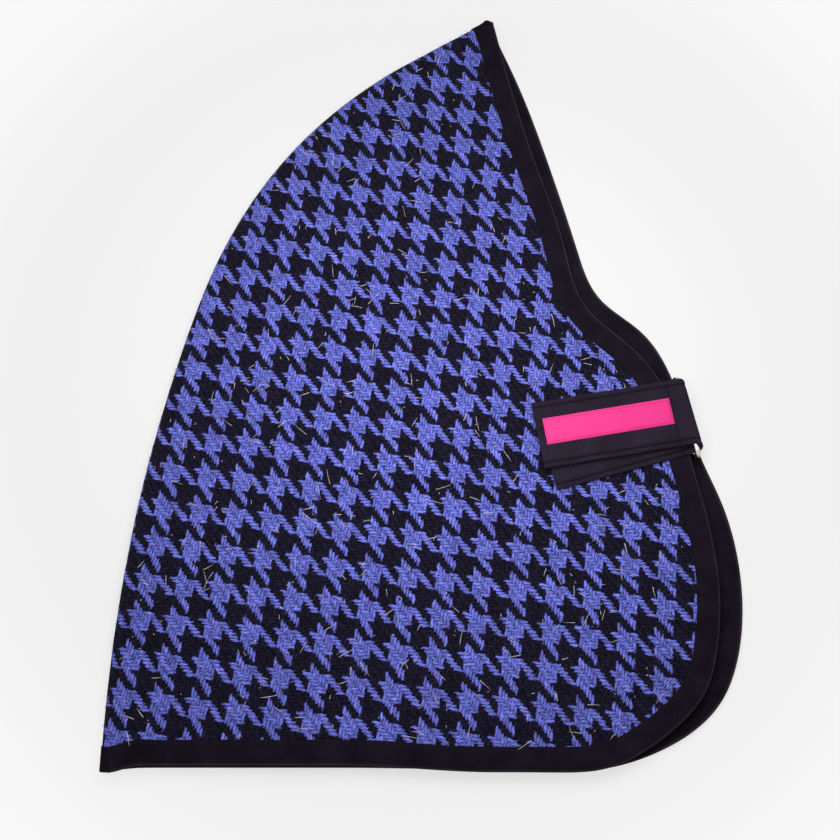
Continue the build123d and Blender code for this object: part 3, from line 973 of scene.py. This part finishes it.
def turn_rings(line, share, section):
    ease = share * share * (3 - 2 * share)
    way = unit(base.way * (1 - ease)[:, None] + flap.way * ease[:, None])
    shift = side_shift(base) * (1 - ease) + side_shift(flap) * ease
    centre = bar_at[:2] + bar_way[:2] * shift[:, None] + way * line[:, :1]
    slope = unit(np.gradient(line, axis=0))
    normal = np.stack([-slope[:, 1], slope[:, 0]], -1)
    across = -right_of(way)
    out = np.concatenate([way * normal[:, :1], normal[:, 1:]], -1)
    middle = np.concatenate([centre, line[:, 1:]], -1)
    flat = np.concatenate([across, np.zeros((len(across), 1))], -1)
    return middle[:, None] + flat[:, None] * section[None, :, :1] + out[:, None] * section[None, :, 1:]


turn_at = distances(turn_line)
turn_uv = paired(flap.length + turn_at[-1] - turn_at[:, None], STRAP[None, :, 0])
strap_round = loft("strap_round_ring", turn_rings(turn_line, turn_share, STRAP), webbing, turn_uv)
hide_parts("strap_turn")
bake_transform(strap_round)


def strap_stitches(name, strip, body):
    """Sewing in the channel near both long edges and across the far end."""
    half = strip.width / 2 - HEM_IN
    corners = [(strip.length, half), (END_STITCH, half), (END_STITCH, -half), (strip.length, -half)]
    line = np.concatenate([np.linspace(a, b, 60) for a, b in zip(corners, corners[1:])])
    places = strip.place(line[:, 0], line[:, 1], strip.high - GROOVE_D * 0.6)
    ups = np.broadcast_to(UP, places.shape)
    rows = stitch_row(name, places, ups, STITCH_L, STITCH_GAP, THREAD_R * 1.15, dark_thread)
    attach(rows, body)


strap_stitches("stitches_flap", flap, "flap")
strap_stitches("stitches_base", base, "right_side")

# ---- ribbon label, bare ----
label = Strip("ribbon_label")
LABEL_STITCH_IN = 1.3 * MM


def ribbon():
    along = np.linspace(0, label.length, 66)
    across = np.linspace(-label.width / 2, label.width / 2, 17)
    edge = np.minimum(label.width / 2 - abs(across)[None], np.minimum(along, label.length - along)[:, None])
    grid = paired(along[:, None], across[None])
    ruck = soft(grid, 2.9 * MM, 60) * 0.16 * MM * np.clip(1 - edge / (3 * MM), 0, 1)
    press = np.exp(-(((edge - LABEL_STITCH_IN) / (0.6 * MM)) ** 2)) * 0.12 * MM
    puff = np.clip(edge / (4 * MM), 0, 1) * 0.22 * MM
    fray = soft(grid, 3.5 * MM, 70) * 0.22 * MM
    ends = np.clip(1 - np.minimum(grid[..., 0], label.length - grid[..., 0]) / MM, 0, 1) * fray
    top = label.high + puff + ruck - press
    outer = label.place(grid[..., 0] + ends, grid[..., 1] + fray * 0.3, top)
    inner = label.place(grid[..., 0] + ends, grid[..., 1] + fray * 0.3, top - 0.22 * MM)
    return shell("label_bare", outer, inner, grid, label_ribbon)


label_piece = ribbon()
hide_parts("ribbon_label")
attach(label_piece, "flap")
half = label.width / 2 - LABEL_STITCH_IN
far = label.length - LABEL_STITCH_IN
corners = [(LABEL_STITCH_IN, half), (far, half), (far, -half), (LABEL_STITCH_IN, -half)]
corners.append(corners[0])
line = np.concatenate([np.linspace(a, b, 40) for a, b in zip(corners, corners[1:])])
places = label.place(line[:, 0], line[:, 1], label.high + 0.12 * MM)
label_stitches = stitch_row("stitches_label", places, np.broadcast_to(UP, places.shape),
                            1.9 * MM, 0.5 * MM, 0.14 * MM, pink_thread)
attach(label_stitches, "flap")

# ---- hook and loop tapes ----
GRIP_PITCH = 1.45 * MM
UNDER_SHARE = 0.62


def grip(name, node, body, looped, seed, under=None):
    """A tape with a ground cloth on its sewn face and hooks or loops on the other. One that lies
    under another is turned in line with it and is narrower."""
    strip = Strip(node)
    if under:
        low, high, strip = strip.low, strip.high, Strip(under)
        strip.low, strip.high, strip.width = low, high, strip.width * UNDER_SHARE
    random = np.random.default_rng(seed)
    ground = (strip.high - strip.low) * 0.35
    seat = strip.low if looped else strip.high
    rise = 1 if looped else -1
    shape = [(-1, 0.1), (-0.98, 0), (0.98, 0), (1, 0.1), (1, 0.9), (0.98, 1), (-0.98, 1), (-1, 0.9)]
    along = np.linspace(0, strip.length, 20)
    section = np.array([(x * strip.width / 2, seat + rise * z * ground) for x, z in shape])
    plate_rings = strip.place(along[:, None], section[None, :, 0], section[None, :, 1])
    plate = loft(name + "_ground", plate_rings, grip_plastic, paired(along[:, None], section[None, :, 0]))
    room = (strip.high - strip.low) - ground - 0.06 * MM
    rows = []
    spots = [(a, b) for a in np.arange(GRIP_PITCH, strip.length - GRIP_PITCH / 2, GRIP_PITCH)
             for b in np.arange(-strip.width / 2 + GRIP_PITCH, strip.width / 2 - GRIP_PITCH / 2, GRIP_PITCH)]
    swing = np.linspace(0, math.tau, 4, endpoint=False)
    sweep = np.linspace(0, math.pi * (1 if looped else 0.8), 6)
    faces = []
    for a, b in spots:
        a, b = (a, b) + random.normal(0, 0.12 if looped else 0.03, 2) * GRIP_PITCH * 2
        facing = random.uniform(0, math.tau) if looped else 0.0
        lean = np.array([math.cos(facing), math.sin(facing)])
        reach = 0.42 * MM * (random.uniform(0.7, 1.3) if looped else 1)
        offset = (1 - np.cos(sweep)) * reach
        height = seat + rise * (ground * 0.9 + np.sin(sweep) * room)
        middle = strip.place(a + lean[0] * offset, b + lean[1] * offset, height)
        ahead = unit(np.gradient(middle, axis=0))
        beside = np.array([*(strip.way * -lean[1] + strip.across * lean[0]), 0.0])
        beside = np.broadcast_to(unit(beside), ahead.shape)
        above = np.cross(beside, ahead)
        ring = middle[:, None] + 0.08 * MM * (np.cos(swing)[None, :, None] * beside[:, None]
                                              + np.sin(swing)[None, :, None] * above[:, None])
        faces += tube_faces(6, 4, len(rows))
        rows.append(ring.reshape(-1, 3))
    pile = mesh_piece(name + "_pile", np.concatenate(rows), faces, grip_plastic)
    tape = joined(name, [plate, pile])
    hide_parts(node)
    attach(tape, body)


grip("loop_side", "loop_tape", "right_side", True, 11, "hook_tape")
grip("hook_side", "hook_tape", "flap", False, 12)

# ---- ring, its keeper and the keeper's patch ----
ring = nodes["closure_ring"]
ring.data.materials.clear()
ring.data.materials.append(nickel)

lower_bar = np.array(joints["ring_swing"]["pos_m"])
KEEPER_T = 0.7 * MM
KEEPER_W = 24.0 * MM
KEEPER_BACK = 10.5 * MM
KEEPER_TAIL = 11.5 * MM
KEEPER_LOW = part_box("ring_keeper")[0].z + KEEPER_T / 2
KEEPER_HIGH = KEEPER_LOW + KEEPER_T
keeper_turn, _ = turn_path(KEEPER_LOW, KEEPER_HIGH, WIRE / 2 + RUNNING_GAP + KEEPER_T / 2,
                           lower_bar[2], KEEPER_BACK)
tail = [(-KEEPER_BACK - KEEPER_TAIL * (1 - t), KEEPER_LOW) for t in np.linspace(0, 1, 6, endpoint=False)]
over = [(-KEEPER_BACK - KEEPER_TAIL * t, KEEPER_HIGH) for t in np.linspace(0, 1, 7)[1:]]
keeper_line = np.concatenate([tail, keeper_turn, over])


def band_rings(line, width, thickness, centre, steps=14):
    """A thin band square to the ring's bar along a line of (along, up) points."""
    slope = unit(np.gradient(line, axis=0))
    normal = np.stack([-slope[:, 1], slope[:, 0]], -1)
    flat = np.linspace(-1, 1, steps) * width / 2
    bead = 1 - 0.35 * (abs(flat) > width * 0.47)
    section = np.array([(x, thickness / 2 * b) for x, b in zip(flat, bead)]
                       + [(x, -thickness / 2 * b) for x, b in zip(flat[::-1], bead[::-1])])
    middle = np.concatenate([centre[:2] + strap_way * line[:, :1], line[:, 1:]], -1)
    out = np.concatenate([strap_way * normal[:, :1], normal[:, 1:]], -1)
    rings = middle[:, None] + bar_way * section[None, :, :1] + out[:, None] * section[None, :, 1:]
    return rings, paired(distances(line)[:, None], section[None, :, 0])


rings, uv = band_rings(keeper_line, KEEPER_W, KEEPER_T * 0.94, lower_bar)
keeper = loft("keeper_loop", rings, webbing, uv)
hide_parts("ring_keeper")
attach(keeper, "left_side")

patch_low, patch_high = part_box("keeper_patch")
PATCH_W = 32.0 * MM
PATCH_FROM, PATCH_TO = 25.0 * MM, 12.7 * MM
patch_share = np.linspace(0, 1, 10)
patch_line = paired(-PATCH_FROM + (PATCH_FROM - PATCH_TO) * patch_share, (patch_low.z + patch_high.z) / 2)
rings, uv = band_rings(patch_line, PATCH_W, (patch_high.z - patch_low.z) * 0.96, lower_bar)
patch = loft("keeper_backing", rings, plain_tape, uv)
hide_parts("keeper_patch")
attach(patch, "left_side")


# ---- loose fibres: bright filaments in the cloth, lint, and fuzz along the crest ----
def strands(name, roots, ways, ups, lengths, radii, bend, lift, random, material):
    """Thin bowed threads, each three-sided and tapered."""
    span = np.linspace(0, 1, 6)[None, :, None]
    side = np.cross(ups, ways)
    bow = (random.normal(0, bend, len(roots)) * lengths)[:, None, None]
    rise = (lift * lengths)[:, None, None]
    waves = random.uniform(0.6, 1.6, len(roots))[:, None, None]
    line = (roots[:, None] + ways[:, None] * span * lengths[:, None, None]
            + side[:, None] * bow * np.sin(span * math.pi * waves)
            + ups[:, None] * rise * np.sin(span * math.pi * 0.6))
    ahead = unit(np.gradient(line, axis=1))
    beside = unit(np.cross(ahead, ups[:, None] + 1e-6))
    above = np.cross(beside, ahead)
    swing = np.radians([90, 210, 330])[None, None, :, None]
    thick = radii[:, None, None, None] * (1 - 0.6 * span[..., None])
    rings = line[:, :, None] + thick * (np.cos(swing) * beside[:, :, None]
                                        + np.sin(swing) * above[:, :, None])
    faces = []
    for k in range(len(roots)):
        faces += tube_faces(6, 3, k)
    return mesh_piece(name, rings, faces, material)


def scattered(run, count, random, margin):
    """Plan places spread evenly over one side's flat cloth."""
    grid = side_grid(run, margin, 120, 60)[:, TURN_COLUMNS:]
    a, b, c = grid[:-1, :-1], grid[1:, :-1], grid[:-1, 1:]
    area = abs((b - a)[..., 0] * (c - a)[..., 1] - (b - a)[..., 1] * (c - a)[..., 0]).ravel()
    pick = random.choice(len(area), count, p=area / area.sum())
    i, j = np.divmod(pick, grid.shape[1] - 1)
    u, v = random.random((2, count, 1))
    return a[i, j] + (b[i, j] - a[i, j]) * u + (c[i, j] - a[i, j]) * v


def on_cloth(name, run, side, count, length, radius, bend, random, material):
    """Threads caught in the face of the cloth, lying along it at every angle."""
    plan = scattered(run, count, random, LEAF_W + 2 * MM)
    roots = laid(plan, R_CLOTH + 0.2 * MM, side)
    turn = random.uniform(0, math.tau, count)
    ways = np.stack([np.cos(turn), np.sin(turn), 0 * turn], -1)
    ups = np.broadcast_to(UP * side, ways.shape)
    lengths = length[0] + (length[1] - length[0]) * random.random(count) ** 2.5
    radii = random.uniform(*radius, count)
    return strands(name, roots, ways, ups, lengths, radii, bend, 0.04, random, material)


def crest_fuzz(name, side, count, length, random, material):
    """Fibres that stand off the turned cloth along the crest."""
    along = random.uniform(LEAF_W, crest.length - LEAF_W, count)
    out = random.uniform(0.25, 0.98, count) * SEAM_OUT
    roots = turned(along, out, np.full(count, R_CLOTH - 0.2 * MM), side)
    away = unit(turned(along, out, np.full(count, 2 * R_CLOTH), side) - roots)
    ahead = np.concatenate([crest.heading(along), np.zeros((count, 1))], -1)
    ways = unit(away + ahead * random.normal(0, 0.9, (count, 1)) + UP * random.normal(0, 0.3, (count, 1)))
    ups = unit(np.cross(ways, ahead) + 1e-6)
    lengths = random.uniform(*length, count) * random.uniform(0.4, 1, count)
    return strands(name, roots, ways, ups, lengths, np.full(count, 0.06 * MM), 0.35, 0.2, random, material)


chance = np.random.default_rng(7)
for run, side, where in ((near_run, 1, "right"), (far_run, -1, "left")):
    pieces = [
        on_cloth(f"lurex_{where}", run, side, 560, (0.9 * MM, 9 * MM), (0.2 * MM, 0.34 * MM), 0.02,
                 chance, lurex),
        on_cloth(f"lint_{where}", run, side, 380, (2 * MM, 10 * MM), (0.04 * MM, 0.08 * MM), 0.12,
                 chance, dark_fibre),
        crest_fuzz(f"fuzz_dark_{where}", side, 300, (0.8 * MM, 2.6 * MM), chance, dark_fibre),
        crest_fuzz(f"fuzz_blue_{where}", side, 160, (0.8 * MM, 2.0 * MM), chance, blue_fibre),
    ]
    for piece in pieces:
        if side > 0:
            follow_fold(piece)
        else:
            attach(piece, "left_side")

# ---- floor, light and camera ----
FLOOR_HALF = 3.0
FLOOR_DROP = 0.1 * MM
PAPER = srgb(247, 247, 247)
middle = (cad_low + cad_high) / 2


def floor_paper():
    """White paper that looks lit from behind to the camera alone, fully so away from the object."""
    finish = Finish("floor_paper", roughness=0.9, specular=0.1)
    place = finish.place()
    grain = finish.grain(place, 6.0)
    finish.colour(finish.scaled(PAPER, grain * 0.01 + 0.995))
    tree = finish.material.node_tree
    glow = tree.nodes.new("ShaderNodeEmission")
    glow.inputs["Color"].default_value = (1, 1, 1, 1)
    path = tree.nodes.new("ShaderNodeLightPath")
    away = tree.nodes.new("ShaderNodeVectorMath")
    away.operation = "DISTANCE"
    tree.links.new(place, away.inputs[0])
    away.inputs[1].default_value = (middle.x, middle.y, 0)
    far_off = Value(away.outputs["Value"]).between(0.2, 0.36)
    share = (far_off * 0.25 + 0.65) * Value(path.outputs["Is Camera Ray"])
    blend = tree.nodes.new("ShaderNodeMixShader")
    output = next(n for n in tree.nodes if n.type == "OUTPUT_MATERIAL")
    lit = output.inputs["Surface"].links[0].from_socket
    tree.links.new(share.socket, blend.inputs[0])
    tree.links.new(lit, blend.inputs[1])
    tree.links.new(glow.outputs[0], blend.inputs[2])
    tree.links.new(blend.outputs[0], output.inputs["Surface"])
    return finish.material


SQUARE = ((-1, -1), (1, -1), (1, 1), (-1, 1))
floor_corners = [(x * FLOOR_HALF, y * FLOOR_HALF, -FLOOR_DROP) for x, y in SQUARE]
floor = mesh_piece("floor", floor_corners, [[0, 1, 2, 3]], floor_paper())

world = bpy.data.worlds.new("studio")
world.use_nodes = True
bpy.context.scene.world = world
sky = world.node_tree.nodes["Background"]
sky.inputs["Color"].default_value = (1, 1, 1, 1)
sky.inputs["Strength"].default_value = 0.22
# the camera and reflections see a paler backdrop than the one that lights the object
backdrop = world.node_tree.nodes.new("ShaderNodeBackground")
backdrop.inputs["Color"].default_value = (1, 1, 1, 1)
backdrop.inputs["Strength"].default_value = 0.93
seen = world.node_tree.nodes.new("ShaderNodeLightPath").outputs
shows = world.node_tree.nodes.new("ShaderNodeMath")
shows.operation, shows.use_clamp = "ADD", True
seen_or_lit = world.node_tree.nodes.new("ShaderNodeMixShader")
for source, target in (
    (seen["Is Camera Ray"], shows.inputs[0]),
    (seen["Is Glossy Ray"], shows.inputs[1]),
    (shows.outputs[0], seen_or_lit.inputs[0]),
    (sky.outputs[0], seen_or_lit.inputs[1]),
    (backdrop.outputs[0], seen_or_lit.inputs[2]),
    (seen_or_lit.outputs[0], world.node_tree.nodes["World Output"].inputs["Surface"]),
):
    world.node_tree.links.new(source, target)


def lamp(name, kind, energy, place):
    data = bpy.data.lights.new(name, kind)
    data.energy = energy
    piece = bpy.data.objects.new(name, data)
    piece.rotation_mode = "QUATERNION"
    piece.rotation_quaternion = place.to_track_quat("Z", "Y")
    bpy.context.scene.collection.objects.link(piece)
    return piece


key = lamp("key", "SUN", 0.5, Vector((-0.4, 0.75, 1.2)))
key.data.angle = math.radians(30)
softbox = lamp("softbox", "AREA", 0.68, Vector((0, 0, 1)))
softbox.data.shape = "DISK"
softbox.data.size = 0.22
softbox.location = (middle.x + 0.01, middle.y, 0.3)
softbox.visible_camera = False

CAMERA_AT = Vector((-5.0, -147.3, 479.1)) * MM
CAMERA_TO = Vector((-5.0, -38.3, 11.1)) * MM
camera = bpy.data.objects.new("camera", bpy.data.cameras.new("camera"))
camera.data.sensor_width = 36.0
camera.data.lens = 36.43
camera.location = CAMERA_AT
camera.rotation_mode = "QUATERNION"
camera.rotation_quaternion = (CAMERA_TO - CAMERA_AT).to_track_quat("-Z", "Y")
camera.data.clip_start = 0.01
bpy.context.scene.collection.objects.link(camera)
bpy.context.scene.camera = camera
bpy.context.scene.view_settings.view_transform = "Standard"
